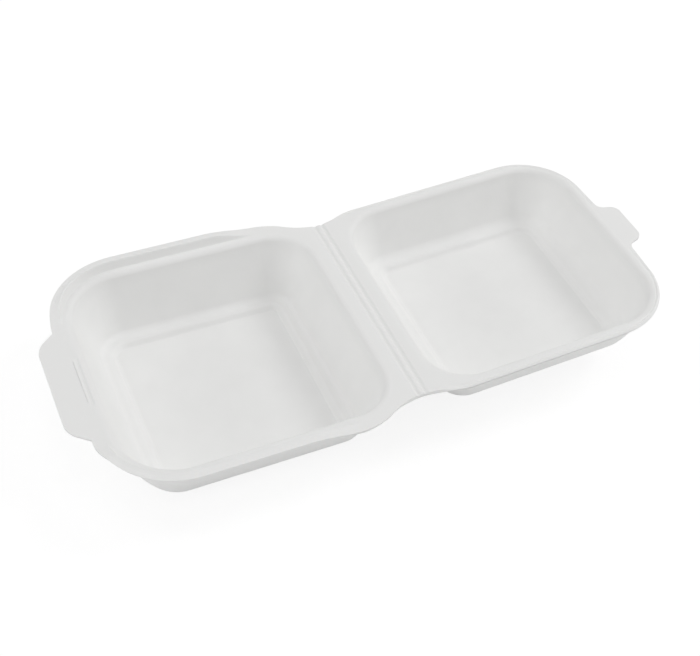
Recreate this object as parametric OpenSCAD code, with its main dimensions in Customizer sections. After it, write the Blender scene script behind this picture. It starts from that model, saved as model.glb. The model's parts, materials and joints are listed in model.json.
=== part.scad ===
// Foam clamshell food container, opened out: one thermoformed sheet with a deep base tray,
// a shallower lid tray and a double crease between them. Millimetres, +Z up.
// The origin is on the underside of the base, at the middle of its tray. +X runs to the lid.

/* [Base tray] */
// Inside length at the rim, from the front to the hinge side
base_l = 111; // [90:1:160]
// Inside width at the rim
base_w = 111; // [90:1:160]
// Inside depth, from the flange to the floor
base_depth = 29.6; // [22:0.2:45]

/* [Lid tray] */
// Inside depth, from the flange to the floor
lid_depth = 26.6; // [18:0.2:45]

/* [Sheet] */
// Thickness of the foam sheet
sheet_t = 1.8; // [1.6:0.1:2.6]
// Lean of the walls from upright, in degrees
wall_draft = 21; // [14:1:30]
// Width of the flat ledge at the foot of the walls
ledge_w = 4.5; // [2.4:0.1:6]
// Height of the riser between the ledge and the floor
riser_h = 2.4; // [1.8:0.1:4]
// Lean of the riser from upright, in degrees
riser_lean = 42; // [20:1:50]
// Corner radius of the floor
floor_corner_r = 4; // [3:0.5:10]
// Roll of the rim's inner edge
rim_round = 2.5; // [2:0.1:3]
// Rounding of the ledge and floor edges
fold_round = 1.6; // [0.8:0.1:2]

/* [Base rim] */
// Width of the flange along the sides
base_side_w = 8.5; // [6.5:0.1:12]
// Width of the flange across the front
base_front_w = 8.9; // [7:0.1:12]
// Width of the flange on the hinge side, to the middle of the hinge
base_hinge_w = 10.1; // [7:0.1:13]
// Height of the raised lip above the flange
lip_h = 3.2; // [2:0.1:5]
// Width of the lip's top
lip_top_w = 2.6; // [1.6:0.1:3.2]
// Lean of the lip's inner face, measured across
lip_lean = 1.8; // [0.8:0.1:2.2]
// Where the lip starts to rise, from the middle of the hinge
lip_start = 28; // [20:1:40]
// Length over which the lip rises to its full height
lip_fade_l = 24; // [10:1:36]

/* [Lid rim] */
// Width of the flange along the sides
lid_side_w = 5.4; // [3.5:0.1:7]
// Width of the flange across the front
lid_front_w = 5.2; // [3:0.1:8]
// Width of the flange on the hinge side, to the middle of the hinge
lid_hinge_w = 9.9; // [6:0.1:13]
// Gap between the closed lid's rim and the foot of the lip, at the sides
nest_gap = 0.4; // [0.3:0.1:1]
// The same gap at the front
front_gap = 0.4; // [0.3:0.1:4]

/* [Hinge] */
// Length of the hinge, across the box
hinge_l = 110; // [70:1:115]
// Distance between the two creases
strip_w = 3.4; // [2.8:0.1:3.5]
// Gap between the two flanges when the box is shut
close_gap = 0.4; // [0.3:0.05:0.8]
// Lean of the groove's faces, in degrees
groove_lean = 45; // [45:1:50]
// Angle that the opened lid keeps above flat, in degrees
lid_lift = 3.5; // [0:0.5:10]
// Length of the base's curve from the hinge out to its full width
base_neck_l = 31; // [15:1:40]
// Length of the lid's curve from the hinge out to its full width
lid_neck_l = 21; // [15:1:40]

/* [Lock] */
// Reach of the base's tab past its flange
base_tab_l = 8.2; // [7:0.1:14]
// Width of the base's tab at its root
base_tab_w = 64; // [50:1:70]
// Lean of the base tab's sides from the front edge, in degrees
base_tab_lean = 50; // [40:1:70]
// Corner radius of the base's tab
base_tab_r = 9; // [3:0.5:10]
// Reach of the lid's tab past its flange
lid_tab_l = 8.4; // [7:0.1:14]
// Width of the lid's tab at its root
lid_tab_w = 33; // [28:1:40]
// Lean of the lid tab's sides from the front edge, in degrees
lid_tab_lean = 74; // [60:1:80]
// Corner radius of the lid's tab
lid_tab_r = 4.5; // [2:0.5:5]
// Fillet where either tab leaves its flange
tab_root_r = 4; // [2:0.5:5]
// Length over which the lip dies away beside the base's tab
tab_fade_l = 11; // [6:0.5:14]
// Length of the slit that takes the lid's tab
slit_l = 23.5; // [18:0.5:34]
// Width of the slit
slit_w = 0.7; // [0.5:0.1:1.2]
// Distance from the closed lid's front edge out to the slit
slit_gap = 1.1; // [1:0.1:3]

/* [Hidden] */
// Colour of the white foam
foam_white = [0.93, 0.93, 0.92];
// True circles
$fn = 64;
// Straight pieces in a rounded fold, in a corner or tab arc and in a long curve
fold_steps = 3;
arc_steps = 8;
curve_steps = 12;
// How much rounder the trimmed front corners are than an even flange would make them
corner_trim = 4.6;
// Overrun of cuts and of the sheet past its trimmed edge
over = 1;
// Lap of the tray's rim under the flange
rim_lap = 0.3;
// Least radius on the tight side of a fold
tight_r = 0.3;
// Share of a straight stretch that one rounded end may take
fold_limit_share = 0.48;
// Share of the shut gap that parts each crease
crease_gap_share = 0.3;
// Shares of the floor's corner radius where the folded sheet ends and the floor plate starts
floor_end_share = 0.7;
floor_start_share = 0.45;

crease_depth = (strip_w - close_gap) / 2;
crease_gap = close_gap * crease_gap_share;
crease_x = strip_w / 2;
lip_foot_w = lip_top_w + lip_lean;
// How much further out the lip's underside steps than its upper face
lip_shift = sheet_t * (norm([lip_lean, lip_h]) - lip_lean) / lip_h;

// Reach of each half from the middle of the hinge to its front edge, and its half width
base_reach = base_hinge_w + base_l + base_front_w;
base_half = base_w / 2 + base_side_w;
lid_reach = base_reach - lip_foot_w - front_gap;
lid_half = base_half - lip_foot_w - nest_gap;
lid_l = lid_reach - lid_hinge_w - lid_front_w;
lid_w = 2 * (lid_half - lid_side_w);

// How far the wall, its ledge and its riser come in from the rim to the floor
function wall_run(depth) = (depth - riser_h) * tan(wall_draft);
riser_run = riser_h * tan(riser_lean);
function tray_inset(depth) = wall_run(depth) + ledge_w + riser_run;
function tray_r(depth) = floor_corner_r + tray_inset(depth);
base_rim_r = tray_r(base_depth) + base_side_w + corner_trim;
lid_rim_r = tray_r(lid_depth) + lid_side_w + corner_trim;

// Flat part of the rim that the tray carries into the flange
rim_flat = rim_round * tan((90 - wall_draft) / 2) + 2 * rim_lap;
slit_x = lid_reach + slit_gap;
hinge_x = base_l / 2 + base_hinge_w;
flange_z = base_depth + sheet_t;

// A unit vector, and the left normal of a step
function unit(v) = v / norm(v);
function left(v) = [-v.y, v.x];

// Points of an arc about a centre
function arc(c, r, from, to, steps) =
    [for (i = [0:steps]) let (a = from + (to - from) * i / steps) c + r * [cos(a), sin(a)]];

// An S-shaped step from 0 to 1
function ease(t) = t * t * (3 - 2 * t);

// Arc that rounds the corner b between a and c
function fold(a, b, c, r) =
    let (
        u = unit(a - b),
        v = unit(c - b),
        half = acos(u * v) / 2,
        room = fold_limit_share * min(norm(a - b), norm(c - b)) * tan(half),
        q = min(r, room),
        m = b + unit(u + v) * q / sin(half),
        s = b + u * q / tan(half) - m,
        e = b + v * q / tan(half) - m,
        from = atan2(s.y, s.x),
        turn = (atan2(e.y, e.x) - from + 540) % 360 - 180
    )
    arc(m, q, from, from + turn, fold_steps);

// A path with its inner corners rounded
function rounded(p, radii) = [
    p[0],
    for (i = [1:len(p) - 2]) each fold(p[i - 1], p[i], p[i + 1], radii[i - 1]),
    p[len(p) - 1]
];

// A path moved sideways by d, to its left
function beside(p, d) = [
    for (i = [0:len(p) - 1])
        let (
            n1 = left(unit(i == 0 ? p[1] - p[0] : p[i] - p[i - 1])),
            n2 = left(unit(i == len(p) - 1 ? p[i] - p[i - 1] : p[i + 1] - p[i]))
        )
        p[i] + d * (n1 + n2) / (1 + n1 * n2)
];

function reversed(p) = [for (i = [len(p) - 1:-1:0]) p[i]];
function mirrored(p) = [for (q = reversed(p)) [q.x, -q.y]];

// Section of a tray's sheet: across from the rim's edge, and up from the flange
function tray_section(depth) =
    let (
        foot = wall_run(depth),
        inside = [
            [rim_flat, 0],
            [0, 0],
            [-foot, riser_h - depth],
            [-foot - ledge_w, riser_h - depth],
            [-tray_inset(depth), -depth],
            [-tray_inset(depth) - floor_corner_r * floor_end_share, -depth]
        ],
        slack = [rim_round, fold_round, fold_round, fold_round],
        tight = max(rim_round - sheet_t, tight_r),
        outer = [tight, fold_round + sheet_t, tight_r, fold_round + sheet_t]
    )
    concat(rounded(inside, slack), reversed(rounded(beside(inside, sheet_t), outer)));

// The section swept round a rounded rectangle, with the middle of the floor filled in
module tray_shell(l, w, depth) {
    r = tray_r(depth);
    plate_in = tray_inset(depth) + floor_corner_r * floor_start_share;
    section = tray_section(depth);
    run = [l / 2 - r, w / 2 - r];
    for (k = [0:3]) {
        along = run[k % 2];
        across = run[(k + 1) % 2];
        rotate(90 * k) translate([0, across + r, 0]) rotate([90, 0, 90])
            linear_extrude(2 * along, center = true) polygon(section);
        rotate(90 * k) translate([along, across, 0]) rotate_extrude(angle = 90)
            translate([r, 0]) polygon(section);
    }
    translate([0, 0, -depth - sheet_t])
        rounded_block(l - 2 * plate_in, w - 2 * plate_in, r - plate_in, sheet_t);
}

// An upright block with rounded corners, standing on z = 0
module rounded_block(l, w, r, h) {
    for (s = [[l, w - 2 * r], [l - 2 * r, w]])
        translate([-s.x / 2, -s.y / 2, 0]) cube([s.x, s.y, h]);
    for (x = [r - l / 2, l / 2 - r], y = [r - w / 2, w / 2 - r])
        translate([x, y, 0]) cylinder(h = h, r = r);
}

// Half outline of a tab, from its root on the front edge to its end
function tab_side(reach, tab_w, tab_l, lean, r) =
    let (
        drop = (r + tab_root_r) * (1 - cos(lean)),
        side = (tab_l - drop) / tan(lean),
        end_y = tab_w / 2 - (r + tab_root_r) * sin(lean) - side
    )
    concat(
        arc([reach + tab_root_r, tab_w / 2], tab_root_r, 180, 180 + lean, arc_steps),
        arc([reach + tab_l - r, end_y], r, lean, 0, arc_steps)
    );

// Trimmed outline of one half, with the middle of the hinge at x = 0 and the front at x = reach
function trim_outline(reach, half, rim_r, neck_l, tab) =
    let (
        far = concat(
            [for (i = [0:curve_steps])
                let (t = i / curve_steps)
                [t * neck_l, hinge_l / 2 + (half - hinge_l / 2) * ease(t)]],
            arc([reach - rim_r, half - rim_r], rim_r, 90, 0, arc_steps),
            tab
        )
    )
    concat(far, mirrored(far));

// A bar of the given section in x and z, centred across the box
module cross_bar(section, w) {
    rotate([90, 0, 0]) linear_extrude(w, center = true) polygon(section);
}

// What is taken off a flange at the hinge: the crease and one face of its groove
module groove_cut() {
    edge = crease_x + crease_gap;
    rise = crease_depth + over;
    cross_bar([
        [-over, -sheet_t - over],
        [edge, -sheet_t - over],
        [edge, -crease_depth],
        [edge + rise * tan(groove_lean), over],
        [-over, over]
    ], hinge_l + 2 * over);
}

// One half of the box laid flat, hinge at x = 0 and flange at z = 0; children stand on its flange
module half_box(reach, half, rim_r, neck_l, tab, l, w, depth, hinge_w) {
    r = tray_r(depth);
    middle = [hinge_w + l / 2, 0, 0];
    lap = rim_flat - rim_lap;
    outline = trim_outline(reach, half, rim_r, neck_l, tab);
    front = max([for (p = outline) p.x]);
    translate(middle) tray_shell(l, w, depth);
    difference() {
        intersection() {
            union() {
                translate([0, -half, -sheet_t]) cube([front + over, 2 * half, sheet_t]);
                children();
            }
            translate([0, 0, -sheet_t]) linear_extrude(sheet_t + lip_h) polygon(outline);
        }
        translate(middle - [0, 0, sheet_t + over])
            rounded_block(l + 2 * lap, w + 2 * lap, r + lap, sheet_t + 2 * over);
        groove_cut();
    }
}

// Section of the raised lip, measured out from the trimmed edge, with its sheet run past that edge;
// shift moves its leaning face out
function lip_section(shift) = [
    [shift - lip_foot_w, -sheet_t / 2],
    [shift - lip_foot_w, 0],
    [shift - lip_top_w, lip_h],
    [over, lip_h],
    [over, -sheet_t / 2]
];

// A section run round the sides and the front of the base
module lip_ring(section) {
    run = [base_reach - base_rim_r, base_half - base_rim_r];
    for (s = [-1, 1]) to_side(s) {
        translate([run.x / 2, base_half, 0]) rotate([90, 0, 90])
            linear_extrude(run.x, center = true) polygon(section);
        translate([run.x, run.y, 0]) rotate_extrude(angle = 90)
            translate([base_rim_r, 0]) polygon(section);
    }
    translate([base_reach, 0, 0]) rotate([90, 0, 0])
        linear_extrude(2 * run.y, center = true) polygon(section);
}

// Puts its children on the far side, or their mirror image on the near side
module to_side(s) {
    if (s > 0) children();
    else mirror([0, 1, 0]) children();
}

// Rising edge of the lip, along a line: nothing up to start, and full height after fade
function rise_line(start, fade) =
    [for (i = [0:curve_steps]) let (t = i / curve_steps) [start + fade * t, lip_h * ease(t)]];

// The lip, rising from the flange on the hinge side and dying away beside the tab
module lip(section) {
    tab_start = base_tab_w / 2 + over;
    side_line = rise_line(lip_start, lip_fade_l);
    far_line = rise_line(tab_start, tab_fade_l);
    out = base_reach + 2 * over;
    wide = base_half + 2 * over;
    intersection() {
        lip_ring(section);
        cross_bar(concat(
            [[lip_start, -sheet_t]],
            side_line,
            [[out, lip_h], [out, -sheet_t]]
        ), 2 * wide);
        for (s = [-1, 1]) to_side(s)
            rotate([90, 0, 90]) linear_extrude(out) polygon(concat(
                [[tab_start, -sheet_t]],
                far_line,
                [[wide, lip_h], [wide, -sheet_t]]
            ));
    }
}

// The slit across the root of the base's tab
module slit() {
    r = slit_w / 2;
    translate([slit_x, 0, -sheet_t - over]) linear_extrude(sheet_t + 2 * over) {
        square([slit_w, slit_l - slit_w], center = true);
        for (s = [-1, 1]) translate([0, s * (slit_l / 2 - r)]) circle(r);
    }
}

// Puts a flat half at the hinge
module at_hinge() {
    translate([hinge_x, 0, flange_z]) children();
}

// Raises what lies beyond a crease, at x from the middle of the hinge, by half the lid's lift
module lifted(x) {
    translate([x, 0, -crease_depth]) rotate([0, -lid_lift / 2, 0])
        translate([-x, 0, crease_depth]) children();
}

// The deep half, with the raised lip, the wide tab and the slit
module base_tray() {
    tab = tab_side(base_reach, base_tab_w, base_tab_l, base_tab_lean, base_tab_r);
    color(foam_white) at_hinge() mirror([1, 0, 0]) difference() {
        half_box(base_reach, base_half, base_rim_r, base_neck_l, tab,
                 base_l, base_w, base_depth, base_hinge_w)
            lip(lip_section(0));
        translate([0, 0, -sheet_t]) lip(lip_section(lip_shift));
        slit();
    }
}

// The ridge between the two creases
module hinge_strip() {
    foot = crease_x - crease_gap;
    crest = foot - crease_depth;
    color(foam_white) at_hinge() lifted(-crease_x)
        cross_bar([
            [-foot, -sheet_t],
            [foot, -sheet_t],
            [foot, -crease_depth],
            [crest, 0],
            [-crest, 0],
            [-foot, -crease_depth]
        ], hinge_l);
}

// The shallow half, with the narrow tab
module lid_tray() {
    tab = tab_side(lid_reach, lid_tab_w, lid_tab_l, lid_tab_lean, lid_tab_r);
    color(foam_white) at_hinge() lifted(-crease_x) lifted(crease_x)
        half_box(lid_reach, lid_half, lid_rim_r, lid_neck_l, tab,
                 lid_l, lid_w, lid_depth, lid_hinge_w);
}

base_tray();
hinge_strip();
lid_tray();
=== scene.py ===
# %% [markdown]
# # Foam clamshell food container
# The object is a hinged takeaway box of white expanded foam, lying open. A warm foam sheet was
# pressed between two moulds and trimmed, so base, hinge and lid are one sheet of even thickness.
# The CAD frame gives the true sizes and the folding joints. Here the same sheet gets its soft
# folds, pinched edges and foam skin.

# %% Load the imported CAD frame
import json
import math
import bmesh
import bpy
from mathutils import Matrix, Vector
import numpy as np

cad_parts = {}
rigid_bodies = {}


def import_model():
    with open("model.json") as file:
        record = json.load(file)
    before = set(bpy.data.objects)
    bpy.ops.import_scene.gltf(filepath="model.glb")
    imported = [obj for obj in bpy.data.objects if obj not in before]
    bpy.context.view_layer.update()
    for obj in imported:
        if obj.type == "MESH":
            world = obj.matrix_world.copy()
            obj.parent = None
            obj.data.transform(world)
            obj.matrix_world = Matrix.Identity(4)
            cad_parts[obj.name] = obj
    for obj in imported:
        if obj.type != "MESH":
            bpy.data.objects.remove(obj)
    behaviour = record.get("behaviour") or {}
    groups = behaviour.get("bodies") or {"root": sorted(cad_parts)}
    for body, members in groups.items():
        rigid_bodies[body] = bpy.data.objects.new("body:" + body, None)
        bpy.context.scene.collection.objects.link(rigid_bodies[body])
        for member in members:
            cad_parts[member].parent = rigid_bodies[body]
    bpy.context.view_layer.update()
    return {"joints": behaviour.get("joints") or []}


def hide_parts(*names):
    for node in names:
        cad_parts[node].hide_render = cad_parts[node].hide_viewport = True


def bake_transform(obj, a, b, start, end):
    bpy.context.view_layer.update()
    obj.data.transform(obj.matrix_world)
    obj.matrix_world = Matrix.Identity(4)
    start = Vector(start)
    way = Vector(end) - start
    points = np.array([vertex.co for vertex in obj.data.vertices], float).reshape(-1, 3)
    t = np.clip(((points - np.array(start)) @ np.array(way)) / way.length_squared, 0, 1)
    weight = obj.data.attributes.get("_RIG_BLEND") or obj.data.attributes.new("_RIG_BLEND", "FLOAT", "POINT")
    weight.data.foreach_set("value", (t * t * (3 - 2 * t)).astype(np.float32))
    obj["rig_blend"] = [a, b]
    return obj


def in_mm(point, digits=1):
    return [round(1000 * x, digits) for x in point]


bpy.ops.object.select_all(action="SELECT")
bpy.ops.object.delete()
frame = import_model()

# %% [markdown]
# ## Sizes
# All sizes are in millimetres and repeat the CAD part's. Each half is shaped lying flat, with the
# ridge of the hinge on x = 0, the flange on z = 0 and the tray towards +x. It is turned and put in
# its place, in metres, when its shape is done. The halves could be shaped one by one, but they
# differ in little more than numbers, so each has a table of sizes and shares the steps.

# %% Sizes of the sheet and of the two halves
SHEET = 1.8
DRAFT, RISER_DRAFT = math.tan(math.radians(21)), math.tan(math.radians(42))
LEDGE, RISER = 4.5, 2.4
HINGE_HALF, CREASE, CREASE_DEPTH = 55.0, 1.7, 1.5
LIFT = math.radians(3.5)
RIDGE = Vector((65.6, 0.0, 31.4))
ROOT_R = 4.0

# First line: outline. Second: tab. Third: tray, with its corners at the hinge and in front.
# Rings are widths along the edge, and folds are how far each fold of the tray is rounded.
BASE = dict(
    reach=130.0, half=64.0, rim_r=34.2, neck=31.0,
    tab_w=64.0, tab_l=8.2, tab_lean=50.0, tab_r=9.0,
    start=10.1, length=111.0, width=111.0, depth=29.6, corners=(19.5, 24.0),
    rings=(0.35, 0.6) + (0.35,) * 6 + (0.31,) * 8, folds=(2.2, 2.0, 1.2, 0.5),
)
LID = dict(
    reach=125.2, half=59.2, rim_r=29.95, neck=21.0,
    tab_w=33.0, tab_l=8.4, tab_lean=74.0, tab_r=4.5,
    start=9.9, length=110.1, width=107.6, depth=26.6, corners=(19.5, 22.5),
    rings=(0.25,) * 4 + (0.28,) * 5, folds=(2.2, 3.0, 1.3, 1.2),
)
print("Base reach", BASE["reach"], "mm, lid reach", LID["reach"], "mm, sheet", SHEET, "mm")

# %% [markdown]
# ## Picking by place
# Edit mode works on what is selected, as by hand with a mouse. Here the selection is made in code,
# by a test on where each vertex, edge or face lies. Stored numbers of vertices would be shorter,
# but every operator changes them, and a place stays. A soft step from 0 to 1 is needed often too.

# %% Helpers that select, cut and blend by place
NEAR = 0.01  # places closer than this are the same


def pick(kind, test):
    bpy.ops.mesh.select_mode(type=kind)
    bpy.ops.mesh.select_all(action="DESELECT")
    mesh = bmesh.from_edit_mesh(bpy.context.object.data)
    for item in {"VERT": mesh.verts, "EDGE": mesh.edges, "FACE": mesh.faces}[kind]:
        if test(item):
            item.select_set(True)
    mesh.select_flush_mode()
    bmesh.update_edit_mesh(bpy.context.object.data)


def near(point, x, y):
    return abs(point.x - x) < NEAR and abs(abs(point.y) - y) < NEAR


def middle(edge):
    return (edge.verts[0].co + edge.verts[1].co) / 2


def cut_at(point, normal, threshold=1e-5, **settings):
    bpy.ops.mesh.select_all(action="SELECT")
    bpy.ops.mesh.bisect(plane_co=point, plane_no=normal, threshold=threshold, **settings)


def ease(low, high, value):
    t = min(1, max(0, (value - low) / (high - low)))
    return t * t * (3 - 2 * t)


print("Places count as the same within", NEAR, "mm")

# %% [markdown]
# ## The trimmed outline
# After pressing, a steel-rule knife cuts the sheet to its outline: straight sides, round front
# corners, a tab in front, and a neck that narrows to the hinge. A curve object could draw it, but
# a plane that is cut, stretched and extruded is quick, and a bevel of single corners gives each
# its own radius. The plane runs 6 mm past the ridge of the hinge, where it is cut off later.

# %% Straight outline of one half
PAST = 6.0  # how far the plane runs past the ridge
KINKS = (0.27, 0.73)  # where the neck bends, as shares of its length


def outline_places(s):
    lean = math.radians(s["tab_lean"])
    root = s["tab_w"] / 2 - ROOT_R * math.tan(lean / 2)
    end = root - s["tab_l"] / math.tan(lean)
    return [share * s["neck"] for share in KINKS], root, end


def trim_outline(name, s):
    kinks, root, end = outline_places(s)
    bpy.ops.object.select_all(action="DESELECT")
    bpy.ops.mesh.primitive_plane_add(size=1)
    piece = bpy.context.object
    piece.name = piece.data.name = name
    bpy.ops.object.mode_set(mode="EDIT")
    bpy.ops.transform.resize(value=(s["reach"] + PAST, 2 * s["half"], 1))
    bpy.ops.transform.translate(value=((s["reach"] - PAST) / 2, 0, 0))
    for x in kinks:
        cut_at((x, 0, 0), (1, 0, 0))
    for y in (-root, root):
        cut_at((0, y, 0), (0, 1, 0))
    pick("VERT", lambda v: v.co.x < kinks[0] + NEAR)
    bpy.ops.transform.resize(value=(1, HINGE_HALF / s["half"], 1), center_override=(0, 0, 0))
    pick("EDGE", lambda e: near(middle(e), s["reach"], 0))
    bpy.ops.mesh.extrude_edges_move(TRANSFORM_OT_translate={"value": (s["tab_l"], 0, 0)})
    bpy.ops.transform.resize(value=(1, end / root, 1), center_override=(0, 0, 0))
    bpy.ops.mesh.select_mode(type="FACE")
    bpy.ops.mesh.select_all(action="SELECT")
    bpy.ops.mesh.dissolve_faces()
    return piece

# %% [markdown]
# ## Round corners of the outline
# A cutting rule is a bent steel strip, so no corner of the outline is sharp. A vertex bevel cuts
# a corner back by a set length along both sides. The neck's two bends take nearly half of the
# slope between them, so that they run into one S-curve.

# %% Rounded corners
KINK_ROUND = 0.48  # share of the slope that each bend of the neck takes


def round_corners(s):
    kinks, root, end = outline_places(s)
    slope = math.hypot(kinks[1] - kinks[0], s["half"] - HINGE_HALF)
    half_turn = math.tan(math.radians(s["tab_lean"]) / 2)
    corners = [  # x, y, length cut back, steps of the curve
        (kinks[0], HINGE_HALF, KINK_ROUND * slope, 10),
        (kinks[1], s["half"], KINK_ROUND * slope, 10),
        (s["reach"], s["half"], s["rim_r"], 24),
        (s["reach"], root, ROOT_R * half_turn, 6),
        (s["reach"] + s["tab_l"], end, s["tab_r"] * half_turn, 10),
    ]
    for x, y, cut, steps in corners:
        pick("VERT", lambda v: near(v.co, x, y))
        bpy.ops.mesh.bevel(offset=cut, offset_type="OFFSET", segments=steps, affect="VERTICES")
    points = len(bmesh.from_edit_mesh(bpy.context.object.data).verts)
    print(bpy.context.object.name, "outline has", points, "points")

# %% [markdown]
# ## Rings along the edge
# The raised lip of the base and the thin pinched edge of both halves follow the outline. Insets of
# the flat sheet give rings of even width that follow every curve of it, which scaling would not.
# Each ring's vertices keep a number, "rim": 7 mm on the edge, less by the way inwards, and nothing
# on the rest of the sheet.

# %% Inset rings
RIM = 7.0  # the number "rim" on the edge itself


def mark_edge(inside):
    mesh = bmesh.from_edit_mesh(bpy.context.object.data)
    layer = mesh.verts.layers.float.get("rim") or mesh.verts.layers.float.new("rim")
    for vert in mesh.verts:
        if vert.select:
            vert[layer] = RIM - inside


def add_rings(widths):
    bpy.ops.mesh.select_mode(type="FACE")
    bpy.ops.mesh.select_all(action="SELECT")
    inside = 0
    mark_edge(inside)
    for width in widths:
        bpy.ops.mesh.inset(thickness=width, depth=0)
        inside += width
        mark_edge(inside)
    bpy.ops.mesh.delete(type="ONLY_FACE")
    print(len(widths), "rings reach", round(inside, 2), "mm inwards")

# %% [markdown]
# ## Cuts across the rings
# The base's lip rises along the sides and dies away beside the tab, both in a soft curve. A curve
# needs points, so the rings are cut across where the lip changes. Subdividing them all would do it
# as well, but with many more faces.

# %% Cuts where the lip rises and dies away
LIP_START, LIP_FADE, LIP_CUTS = 28.0, 24.0, 12  # from the hinge
TAB_START, TAB_FADE, TAB_CUTS = 33.0, 11.0, 6  # from the middle of the tab
RING_SNAP = 1e-4  # points this close to a cut lie on it


def cut_rings():
    for i in range(LIP_CUTS + 1):
        cut_at((LIP_START + LIP_FADE * i / LIP_CUTS, 0, 0), (1, 0, 0), RING_SNAP)
    for i in range(TAB_CUTS + 1):
        for side in (-1, 1):
            cut_at((0, side * (TAB_START + TAB_FADE * i / TAB_CUTS), 0), (0, 1, 0), RING_SNAP)
    print("Lip gets", LIP_CUTS + 1, "cuts along its rise and", TAB_CUTS + 1, "at each end")

# %% [markdown]
# ## Folds and ledge
# Foam can't be pressed into a sharp fold, and each fold of the tray has its own softness. A bevel
# weight on its edges lets one Bevel modifier round them all later, each by its own amount. The
# narrow ledge above the floor isn't level everywhere: in front, and on the lid also at the hinge,
# it slopes. Its two folds are found again by their weights and moved.

# %% Weights of the folds and slope of the ledge
ROUND = 3.4  # rounding of a fold whose weight is 1
FOOT_UP, LEDGE_DOWN = 0.8, 0.5  # moves of the ledge's outer and inner fold
SIDE_BLEND = 8.0  # where a sloped side runs into a level one
SAME_WEIGHT = 1e-4


def fold_layer(mesh):
    layers = mesh.edges.layers.float
    return layers.get("bevel_weight_edge") or layers.new("bevel_weight_edge")


def weigh_folds(weight):
    mesh = bmesh.from_edit_mesh(bpy.context.object.data)
    layer = fold_layer(mesh)
    for edge in mesh.edges:
        if edge.select:
            edge[layer] = weight
    bmesh.update_edit_mesh(bpy.context.object.data)


def slope_ledge(s, foot, ledge):
    mesh = bmesh.from_edit_mesh(bpy.context.object.data)
    layer = fold_layer(mesh)
    middle_x = s["start"] + s["length"] / 2
    for vert in mesh.verts:
        weight = max(edge[layer] for edge in vert.link_edges)
        across = abs(vert.co.x - middle_x) - abs(vert.co.y)
        sloped = s is LID or vert.co.x > middle_x
        share = ease(-SIDE_BLEND, SIDE_BLEND, across) if sloped else 0
        if abs(weight - foot) < SAME_WEIGHT:
            vert.co.z += FOOT_UP * share
        elif abs(weight - ledge) < SAME_WEIGHT:
            vert.co.z -= LEDGE_DOWN * share
    bmesh.update_edit_mesh(bpy.context.object.data)
    print("Ledge slopes by", FOOT_UP + LEDGE_DOWN, "mm where it isn't level")

# %% [markdown]
# ## The tray
# The mould's plug pushes the warm sheet down: a wall that leans so that boxes nest, and that is a
# little hollow between rim and foot, a narrow ledge, a small riser and the floor. A face with
# round corners, inset again and again with a depth, gives just that, and the corners get tighter
# towards the floor by themselves. Four insets that lean more and more make the hollow of the wall.

# %% Insets of the tray
COLLAR = 2.3  # flat margin around the tray
WALL_CURVE = (0.67, 0.90, 1.12, 1.31)  # lean from rim to foot, against the mean
TRAY_STEPS = 24


def press_tray(s):
    run = (s["depth"] - RISER) * DRAFT
    riser_run = RISER * RISER_DRAFT
    rim, foot, ledge, riser = s["folds"]
    bpy.ops.mesh.primitive_plane_add(size=1)
    size = (s["length"] + 2 * COLLAR, s["width"] + 2 * COLLAR, 1)
    bpy.ops.transform.resize(value=size)
    bpy.ops.transform.translate(value=(s["start"] + s["length"] / 2, 0, 0))
    ends = (s["start"] - COLLAR, s["start"] + s["length"] + COLLAR)
    for x, corner in zip(ends, s["corners"]):
        pick("VERT", lambda v: near(v.co, x, s["width"] / 2 + COLLAR))
        bpy.ops.mesh.bevel(offset=corner + COLLAR, offset_type="OFFSET",
                           segments=TRAY_STEPS, affect="VERTICES")
    pick("FACE", lambda f: len(f.verts) > 3 * TRAY_STEPS)
    step = 1 / len(WALL_CURVE)
    wall = [(run * step * lean, (RISER - s["depth"]) * step, 0) for lean in WALL_CURVE]
    wall[-1] = wall[-1][:2] + (foot,)
    rest = [(LEDGE, 0, ledge), (riser_run, -RISER, riser)]
    for inward, down, width in [(COLLAR, 0, rim)] + wall + rest:
        bpy.ops.mesh.inset(thickness=inward, depth=down)
        weigh_folds(width / ROUND)
    slope_ledge(s, foot / ROUND, ledge / ROUND)
    print("Tray floor", round(s["length"] - 2 * (run + LEDGE + riser_run), 1), "mm long")

# %% [markdown]
# ## Slit
# The base's tab has a cut across its root that takes the lid's tab. It goes in as an outline of
# its own, a thin plane with round ends, before the flange is filled, and so becomes a hole in it.
# A Boolean could cut it later, but would leave a rough mesh around it. The foam beside the cut,
# towards the tray, is pressed down a little: a shallow dent by insets.

# %% Outline of the slit and dent beside it
SLIT_X, SLIT_L, SLIT_W = 126.3, 23.5, 0.08
SIDE_X, SIDE_L, SIDE_W = 124.75, 27.0, 2.3
SIDE_INSETS = ((0.25, -0.05), (0.35, -0.22), (0.35, -0.13))
END_ROUND = 0.46  # share of the width that each corner takes


def flat_patch(x, length, width):
    bpy.ops.mesh.primitive_plane_add(size=1)
    bpy.ops.transform.resize(value=(width, length, 1))
    bpy.ops.transform.translate(value=(x, 0, 0))
    bpy.ops.mesh.select_mode(type="VERT")
    bpy.ops.mesh.bevel(offset=END_ROUND * width, offset_type="OFFSET",
                       segments=5, affect="VERTICES")
    bpy.ops.mesh.select_mode(type="FACE")


def cut_slit():
    flat_patch(SLIT_X, SLIT_L, SLIT_W)
    bpy.ops.mesh.delete(type="ONLY_FACE")
    flat_patch(SIDE_X, SIDE_L, SIDE_W)
    for inward, down in SIDE_INSETS:
        bpy.ops.mesh.inset(thickness=inward, depth=down)
    print("Slit", SLIT_L, "mm long, dent beside it", SIDE_L, "mm long")

# %% [markdown]
# ## Flange
# The flat between the rings and the tray is what is left of the sheet. Bridging would join two
# loops only, so it is filled in one go: Fill takes all open loops but the outer edge, and leaves
# the slit open.

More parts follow.
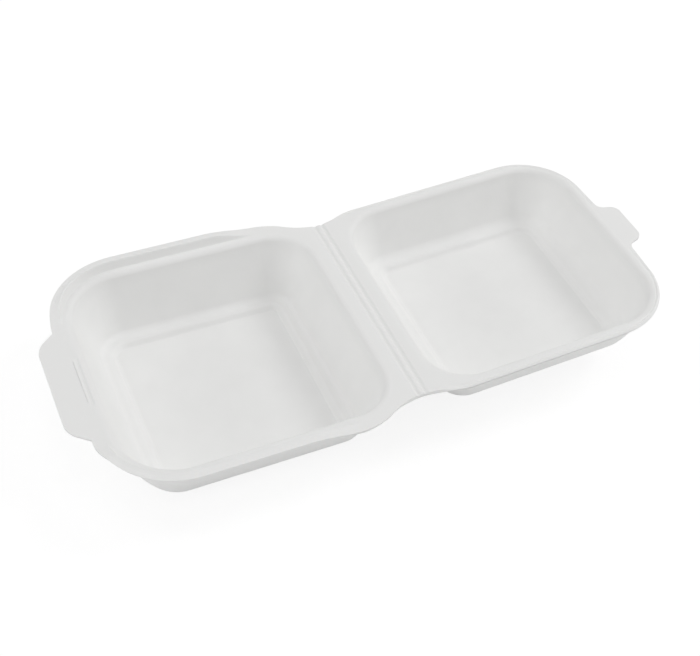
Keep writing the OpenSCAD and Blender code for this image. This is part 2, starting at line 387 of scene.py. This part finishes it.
# %% Filled flange
def open_loops(mesh):
    left = {e for e in mesh.edges if len(e.link_faces) < 2}
    loops = []
    while left:
        grow = [left.pop()]
        loop = list(grow)
        while grow:
            edge = grow.pop()
            for vert in edge.verts:
                for other in vert.link_edges:
                    if other in left:
                        left.remove(other)
                        grow.append(other)
                        loop.append(other)
        loops.append(loop)
    return loops


def fill_flange():
    mesh = bmesh.from_edit_mesh(bpy.context.object.data)
    loops = open_loops(mesh)
    outer = set(max(loops, key=lambda loop: sum(e.calc_length() for e in loop)))
    pick("EDGE", lambda e: len(e.link_faces) < 2 and e not in outer)
    bpy.ops.mesh.fill(use_beauty=True)
    pick("FACE", lambda f: f.normal.z < 0)
    bpy.ops.mesh.flip_normals()
    print("Flange fills", len(loops) - 1, "loops")

# %% [markdown]
# ## Cut lines of the hinge
# The sheet is cut off at the ridge, where the other half begins. Lines across it, close together
# at the crease, give the points that will be pressed down there and that bend when the box shuts.

# %% Cut lines at the crease
GROOVE = (0.4, 0.7, 1.0, 1.35, CREASE, 2.05, 2.4, 2.7, 3.0)


def cut_hinge():
    cut_at((0, 0, 0), (1, 0, 0), clear_inner=True)
    for x in GROOVE:
        cut_at((x, 0, 0), (1, 0, 0))
    print("Hinge has", len(GROOVE), "cut lines on each side of the ridge")

# %% [markdown]
# ## Lip
# Along its sides and round its front corners the base's edge is raised, so that the lid's rim lies
# inside it when shut. The lip grows out of the flange on the hinge side and dies away beside the
# tab. Across the rings it is a steep inner face and a top that droops towards the edge, with a
# faint groove. Extruding it would give an even height, so the rings are moved in code: the top
# follows an S-curve along the edge, and the inner face runs out in a wedge. A running mean rounds
# the folds.

# %% Raised lip of the base
LIP_H, LIP_TOP, LIP_FOOT = 3.7, 3.6, 4.9  # height, and where crest and foot lie
MEAN_STEPS = (-0.14, -0.07, 0.0, 0.07, 0.14)
DROOP = 0.8  # fall of the lip's top from its crest to the edge
LIP_GROOVE, LIP_GROOVE_D, LIP_GROOVE_HALF = 0.15, 2.0, 1.1  # depth, place, half width


def lip_height(inside, top):
    rise = LIP_FOOT - LIP_TOP
    return sum(
        min(top, max(0, LIP_H * (LIP_FOOT - inside - step) / rise)) for step in MEAN_STEPS
    ) / len(MEAN_STEPS)


def round_dip(offset, half):
    return max(0, 1 - (offset / half) ** 2) ** 2


def raise_lip():
    mesh = bmesh.from_edit_mesh(bpy.context.object.data)
    layer = mesh.verts.layers.float["rim"]
    for vert in mesh.verts:
        along = ease(LIP_START, LIP_START + LIP_FADE, vert.co.x)
        along *= ease(TAB_START, TAB_START + TAB_FADE, abs(vert.co.y))
        inside = RIM - vert[layer]
        droop = DROOP * max(0, 1 - inside / LIP_TOP)
        groove = LIP_GROOVE * round_dip(inside - LIP_GROOVE_D, LIP_GROOVE_HALF)
        vert.co.z += lip_height(inside, LIP_H * along) - (droop + groove) * along
    bmesh.update_edit_mesh(bpy.context.object.data)
    print("Lip rises to", round(max(v.co.z for v in mesh.verts), 2), "mm")

# %% [markdown]
# ## Edge of the lid
# The lid's rim has to slide down inside the lip, so its outermost millimetre is rounded down, and a
# shallow groove beside it stiffens the rim. Both stop before the lid's tab and before the hinge, so
# a bevel of the whole edge wouldn't do, and the rings are moved in code as for the lip.

# %% Rolled edge and groove
ROLL, ROLL_W, ROLL_CURVE = 0.8, 1.0, 1.5
RIM_GROOVE, RIM_GROOVE_D, RIM_GROOVE_HALF = 0.3, 1.7, 0.7
ROLL_FROM_HINGE, ROLL_FROM_TAB = (8, 24), (18, 26)


def roll_edge():
    mesh = bmesh.from_edit_mesh(bpy.context.object.data)
    layer = mesh.verts.layers.float["rim"]
    for vert in mesh.verts:
        inside = RIM - vert[layer]
        roll = max(0, 1 - inside / ROLL_W) ** ROLL_CURVE
        groove = round_dip(inside - RIM_GROOVE_D, RIM_GROOVE_HALF)
        along = ease(*ROLL_FROM_HINGE, vert.co.x) * ease(*ROLL_FROM_TAB, abs(vert.co.y))
        vert.co.z -= (ROLL * roll + RIM_GROOVE * groove) * along
    bmesh.update_edit_mesh(bpy.context.object.data)
    print("Lid's edge rolls down by", ROLL, "mm, its groove is", RIM_GROOVE, "mm deep")

# %% [markdown]
# ## Thickness
# Foam sheet keeps nearly its thickness when it is pressed. Drawing the underside as well would
# double the work, so the folds are rounded first, and Solidify then lays the underside under them
# at an even distance. At the front of the base the rim falls off to the tray in a wider curve than
# a bevel gives, so its vertices are moved down in between.

# %% Rounded folds and sheet thickness
FRONT_X, FRONT_W, FRONT_DROP = 126.2, 5.2, 1.6
FRONT_SIDES, FRONT_INNER, FRONT_DEPTH = (30, 48), (FRONT_X - 14, FRONT_X - 8), (-9, -4)


def use(piece, kind, **settings):
    modifier = piece.modifiers.new(kind.title(), kind)
    for key, value in settings.items():
        setattr(modifier, key, value)
    bpy.ops.object.modifier_apply(modifier=modifier.name)


def soften_front(piece):
    for vert in piece.data.vertices:
        share = min(1, max(0, (FRONT_X - vert.co.x) / FRONT_W))
        drop = FRONT_DROP * share ** 2 * (1 - ease(*FRONT_SIDES, abs(vert.co.y)))
        vert.co.z -= drop * ease(*FRONT_INNER, vert.co.x) * ease(*FRONT_DEPTH, vert.co.z)


def give_thickness(piece, s):
    bpy.ops.object.mode_set(mode="OBJECT")
    use(piece, "BEVEL", width=ROUND, segments=6, limit_method="WEIGHT", use_clamp_overlap=False)
    if s is BASE:
        soften_front(piece)
    use(piece, "SOLIDIFY", thickness=SHEET, offset=-1, use_even_offset=True,
        use_quality_normals=True)
    print(piece.name, "has", len(piece.data.polygons), "faces")

# %% [markdown]
# ## Pinched edge and painted rim shade
# The knife squeezes the cells along the cut, which leaves a thinner edge: there the underside comes
# up. The flat rim and flange get a painted shade, a shade greyer than the tray. Each vertex keeps how
# much painted shade it gets, by its height, as an attribute, which the material will read; a second material
# would show a seam.

# %% Pinched edge and painted rim shade
PINCH, PINCH_W, PINCH_FROM_HINGE = 0.8, 1.4, (5, 14)
FACES_DOWN = -0.1  # the underside's normals point below this
RIM_SHADE_Z = (-5.0, -0.5)  # heights with no painted shade, and with full painted shade


def pinch_edge(piece):
    bpy.ops.object.mode_set(mode="EDIT")
    mesh = bmesh.from_edit_mesh(piece.data)
    rim_shade = mesh.verts.layers.float.new("rim_shade")
    layer = mesh.verts.layers.float["rim"]
    for vert in mesh.verts:
        # painted shade: the flat rim and flange, near z = 0, get the most
        vert[rim_shade] = ease(*RIM_SHADE_Z, vert.co.z)
        if vert.normal.z < FACES_DOWN:
            edge = ease(RIM - PINCH_W, RIM, vert[layer])
            vert.co.z += PINCH * edge * ease(*PINCH_FROM_HINGE, vert.co.x)
    bmesh.update_edit_mesh(piece.data)
    print(piece.name, "edge is", SHEET - PINCH, "mm thick")

# %% [markdown]
# ## Hinge
# Two creases are pressed into the top of the sheet and leave a sharp ridge between them; the
# underside stays flat. Each half carries one crease and one side of the ridge. A groove could be
# cut with a Boolean, but pressing down the cut lines of the top keeps the mesh even.

# %% Pressed crease
DENT, DENT_HALF = 0.6, 1.25


def press_crease():
    mesh = bmesh.from_edit_mesh(bpy.context.object.data)
    for vert in mesh.verts:
        if vert.co.z > -0.5 * SHEET:
            vert.co.z -= DENT * round_dip(vert.co.x - CREASE, DENT_HALF)
    bmesh.update_edit_mesh(bpy.context.object.data)
    print("Crease is", DENT, "mm deep and", 2 * DENT_HALF, "mm wide")

# %% [markdown]
# ## Both halves
# The steps are the same for base and lid. The base is turned half round, because it lies on the
# other side of the ridge. The opened lid keeps a few degrees of lift, half of it at each crease.
# The turns go into the mesh, in edit mode, so that both objects stay at the origin.

# %% Steps that shape one half
def form_half(name, s):
    piece = trim_outline(name, s)
    round_corners(s)
    add_rings(s["rings"])
    if s is BASE:
        cut_rings()
    press_tray(s)
    if s is BASE:
        cut_slit()
    fill_flange()
    cut_hinge()
    if s is BASE:
        raise_lip()
    else:
        roll_edge()
    give_thickness(piece, s)
    pinch_edge(piece)
    press_crease()
    return piece


def turn(angle, axis, centre):
    bpy.ops.transform.rotate(value=angle, orient_axis=axis, center_override=centre)


def put_in_place(piece):
    bpy.ops.mesh.select_all(action="SELECT")
    bpy.ops.transform.translate(value=RIDGE)
    bpy.ops.transform.resize(value=(0.001, 0.001, 0.001), center_override=(0, 0, 0))
    bpy.ops.object.mode_set(mode="OBJECT")
    places = [v.co for v in piece.data.vertices]
    lowest = [min(p[i] for p in places) for i in range(3)]
    highest = [max(p[i] for p in places) for i in range(3)]
    print(piece.name, "from", in_mm(lowest, 2), "to", in_mm(highest, 2), "mm")

# %% Shape the base and the lid
foam_base = form_half("foam_base", BASE)
pick("VERT", lambda v: v.co.x < CREASE - NEAR)
turn(-LIFT / 2, "Y", (CREASE, 0, -CREASE_DEPTH))
bpy.ops.mesh.select_all(action="SELECT")
turn(math.pi, "Z", (0, 0, 0))
put_in_place(foam_base)

foam_lid = form_half("foam_lid", LID)
pick("VERT", lambda v: v.co.x > CREASE + NEAR)
turn(LIFT / 2, "Y", (CREASE, 0, -CREASE_DEPTH))
bpy.ops.mesh.select_all(action="SELECT")
turn(LIFT / 2, "Y", (-CREASE, 0, -CREASE_DEPTH))
put_in_place(foam_lid)

# %% [markdown]
# ## Soft cut edges and shading
# A knife-cut foam edge is not razor sharp. The corners of the cut get a small bevel by their angle.
# Faces are shaded smooth, and Weighted Normals keep the flat floor and flange flat up to their
# folds, which plain smooth shading would not.

# %% Rounded cut edges and smooth shading
EDGE_ROUND = 0.00022  # metres
CUT_ANGLE, SMOOTH_ANGLE = math.radians(62), math.radians(50)
FLAT_WEIGHT = 60


def soften(piece):
    bpy.ops.object.select_all(action="DESELECT")
    piece.select_set(True)
    bpy.context.view_layer.objects.active = piece
    use(piece, "BEVEL", width=EDGE_ROUND, segments=2, limit_method="ANGLE", angle_limit=CUT_ANGLE)
    bpy.ops.object.shade_smooth_by_angle(angle=SMOOTH_ANGLE)
    use(piece, "WEIGHTED_NORMAL", keep_sharp=True, weight=FLAT_WEIGHT)
    triangles = sum(len(p.vertices) - 2 for p in piece.data.polygons)
    print(piece.name, "has", triangles, "triangles")


for piece in (foam_base, foam_lid):
    soften(piece)

# %% [markdown]
# ## Riding on the frame
# Each half bends at its own crease and is rigid elsewhere: the ridge between the creases turns by
# half of the lid's angle. Parts that ride on one body each would tear open at the creases, so each
# half blends from one body to the next, in a short run across the thin web of foam.

# %% Bend each half at its crease
BEND = Vector((0.0007, 0, 0))  # half of the run, in metres
creases = {j["name"]: Vector(j["pos_m"]) for j in frame["joints"]}
for piece, body_a, body_b, name in (
    (foam_base, "base", "strip", "base_crease"),
    (foam_lid, "strip", "lid", "lid_crease"),
):
    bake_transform(piece, body_a, body_b, start=creases[name] - BEND, end=creases[name] + BEND)
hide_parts("base_tray", "hinge_strip")
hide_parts("lid_tray")
print("Creases in mm:", {name: in_mm(place, 2) for name, place in creases.items()})

# %% [markdown]
# ## Expanded polystyrene foam: colour
# Extruded foam sheet is polystyrene blown with gas: closed cells a few tenths of a millimetre wide
# under a thin smooth skin. It scatters light, so it looks soft, white and matt. The sheet is never
# quite even, so wide soft clouds change its white a little. Along the flat rim and flange the colour
# has a painted shade, a shade greyer than the tray. One flat colour would look like paint.

# %% Helpers for materials
def linear(hex_colour):
    parts = [int(hex_colour[i:i + 2], 16) / 255 for i in (1, 3, 5)]
    return tuple(c / 12.92 if c <= 0.04045 else ((c + 0.055) / 1.055) ** 2.4 for c in parts) + (1,)


def add(tree, kind, inputs=(), **settings):
    node = tree.nodes.new(kind)
    for key, value in settings.items():
        setattr(node, key, value)
    for key, value in dict(inputs).items():
        if hasattr(value, "links"):
            tree.links.new(value, node.inputs[key])
        else:
            node.inputs[key].default_value = value
    return node


print("White foam is", [round(c, 3) for c in linear("#F2F2F1")[:3]], "in linear light")

# %% Foam colour
CLOUD_MM = 12.0
foam = bpy.data.materials.new("expanded_polystyrene_foam")
foam.use_nodes = True
tree = foam.node_tree
shader = tree.nodes["Principled BSDF"]
place = add(tree, "ShaderNodeTexCoord").outputs["Object"]
clouds = add(tree, "ShaderNodeTexNoise", {
    "Vector": place, "Scale": 1000 / CLOUD_MM, "Detail": 2.0, "Roughness": 0.5})
tone = add(tree, "ShaderNodeMapRange", {
    "Value": clouds.outputs["Fac"], "From Min": 0.3, "From Max": 0.7})
colour = add(tree, "ShaderNodeMix", {
    "Factor": tone.outputs["Result"], "A": linear("#F0F0EF"), "B": linear("#F2F2F1")},
    data_type="RGBA")
# Painted shade: the attribute set in pinch_edge makes the flat rim and flange a shade greyer
rim_shade = add(tree, "ShaderNodeAttribute", attribute_name="rim_shade")
shaded_rim_colour = add(tree, "ShaderNodeMix", {
    "Factor": rim_shade.outputs["Fac"], "A": colour.outputs[2], "B": linear("#EDEDEC")},
    data_type="RGBA")
tree.links.new(shaded_rim_colour.outputs[2], shader.inputs["Base Color"])
print("Foam colour changes over", CLOUD_MM, "mm")

# %% [markdown]
# ## Expanded polystyrene foam: skin
# The cells show through the skin as a fine grain, and the clouds as a slight unevenness. Real cells
# are too fine to show here, so the grain is drawn about twice as coarse. Both are so shallow that
# bump is enough: as real bumps of the mesh they would need millions of faces. The skin has a faint
# sheen, from a middling roughness and an IOR a little under that of solid polystyrene.

# %% Foam skin
CELL_MM = 0.9
cells = add(tree, "ShaderNodeTexVoronoi", {
    "Vector": place, "Scale": 1000 / CELL_MM}, feature="SMOOTH_F1")
fine = add(tree, "ShaderNodeBump", {
    "Height": cells.outputs["Distance"], "Strength": 0.05, "Distance": 0.0004})
soft = add(tree, "ShaderNodeBump", {
    "Height": clouds.outputs["Fac"], "Strength": 0.015, "Distance": 0.0006,
    "Normal": fine.outputs["Normal"]})
tree.links.new(soft.outputs["Normal"], shader.inputs["Normal"])
shader.inputs["Roughness"].default_value = 0.55
shader.inputs["IOR"].default_value = 1.45
for piece in (foam_base, foam_lid):
    piece.data.materials.clear()
    piece.data.materials.append(foam)
print("Foam grain is", CELL_MM, "mm wide, nodes:", len(tree.nodes))

# %% [markdown]
# ## Floor
# The box lies on plain white paper that runs into a white background. More light would whiten the
# paper, but the foam too. So the paper shines a little of its own, only for rays from the camera
# and mirrored rays: it looks white, keeps the box's shadow, and lights nothing.

# %% White floor
GLOW_SHARE, GLOW = 0.75, 1.12  # share and strength of the paper's own white


def seen_rays(tree):
    path = add(tree, "ShaderNodeLightPath")
    mirrored = add(tree, "ShaderNodeMath", {
        0: path.outputs["Is Glossy Ray"], 1: path.outputs["Is Transmission Ray"]},
        operation="MAXIMUM")
    seen = add(tree, "ShaderNodeMath", {
        0: path.outputs["Is Camera Ray"], 1: mirrored.outputs[0]}, operation="MAXIMUM")
    return seen.outputs[0]


bpy.ops.object.select_all(action="DESELECT")
bpy.ops.mesh.primitive_plane_add(size=6, location=(0.06, 0, 0))
floor = bpy.context.object
floor.name = "floor"
paper = bpy.data.materials.new("white_paper")
paper.use_nodes = True
tree = paper.node_tree
surface = tree.nodes["Principled BSDF"]
surface.inputs["Base Color"].default_value = linear("#EDEDED")
surface.inputs["Roughness"].default_value = 0.9
share = add(tree, "ShaderNodeMath", {0: seen_rays(tree), 1: GLOW_SHARE}, operation="MULTIPLY")
white = add(tree, "ShaderNodeEmission", {"Strength": GLOW})
lifted = add(tree, "ShaderNodeMixShader", {
    0: share.outputs[0], 1: surface.outputs[0], 2: white.outputs[0]})
tree.links.new(lifted.outputs[0], tree.nodes["Material Output"].inputs["Surface"])
floor.data.materials.append(paper)
print("Floor is", floor.dimensions.x, "m wide")

# %% [markdown]
# ## Light
# The main light comes from the right, so the walls that face it are the brightest. Low lamps on
# the left and in front lift the shaded walls, as white walls do in a small photo studio. One lamp
# and a bright world would be simpler, but would flatten the folds. The world gives an even fill,
# and is white where it is seen.

# %% World
FILL, WHITE = 0.46, 1.0
world = bpy.data.worlds.new("studio")
bpy.context.scene.world = world
world.use_nodes = True
tree = world.node_tree
sky = tree.nodes["Background"]
level = add(tree, "ShaderNodeMix", {"Factor": seen_rays(tree), "A": FILL, "B": WHITE})
tree.links.new(level.outputs[0], sky.inputs["Strength"])
sky.inputs["Color"].default_value = (1, 1, 1, 1)
print("World fills with", FILL)

# %% Soft lamps
TARGET = Vector((0.06, 0, 0.02))
AWAY = 2.0
LAMPS = (  # name, azimuth and height in degrees, size in metres, power in watts
    ("right", 0, 45, 0.7, 9.3),
    ("right_low", 0, 20, 0.7, 3.0),
    ("left_low", 180, 15, 0.7, 6.0),
    ("back_left", 135, 50, 0.7, 3.1),
    ("near_low", 270, 15, 0.7, 2.1),
    ("near_floor", 262, 4, 0.25, 1.0),
    ("above", 0, 90, 1.0, 4.5),
)


def softbox(name, place, size, power):
    bpy.ops.object.light_add(type="AREA", location=place)
    lamp = bpy.context.object
    lamp.name = name
    lamp.data.shape = "DISK"
    lamp.data.size = size
    lamp.data.energy = power
    lamp.rotation_euler = (TARGET - place).to_track_quat("-Z", "Y").to_euler()


for name, azimuth, height, size, power in LAMPS:
    a, e = math.radians(azimuth), math.radians(height)
    toward = Vector((math.cos(e) * math.cos(a), math.cos(e) * math.sin(a), math.sin(e)))
    softbox(name, TARGET + AWAY * toward, size, power)
print("Lamps:", len(LAMPS))

# %% [markdown]
# ## Camera
# The photograph looks down at the open box from the base's near front corner. A camera can be
# aimed by hand, but here its three axes, its place and its lens were fitted to points of the
# outline, so they are given as numbers. The view transform is Standard, so that a colour comes out
# as it is written.

# %% Camera
bpy.ops.object.camera_add()
camera = bpy.context.object
right = Vector((0.91305, -0.40361, 0.05861))
down = Vector((-0.25385, -0.67488, -0.69289))
forward = Vector((0.31921, 0.61776, -0.71866))
stand = Vector((-0.10775, -0.32117, 0.39275))
axes = Matrix((right, -down, -forward)).transposed().to_4x4()
camera.matrix_world = Matrix.Translation(stand) @ axes
camera.data.sensor_width = 36
camera.data.sensor_fit = "HORIZONTAL"
camera.data.lens = 60.85
camera.data.clip_start = 0.01
bpy.context.scene.camera = camera
bpy.context.scene.view_settings.view_transform = "Standard"
print("Camera is", round((stand - TARGET).length, 3), "m from the box")
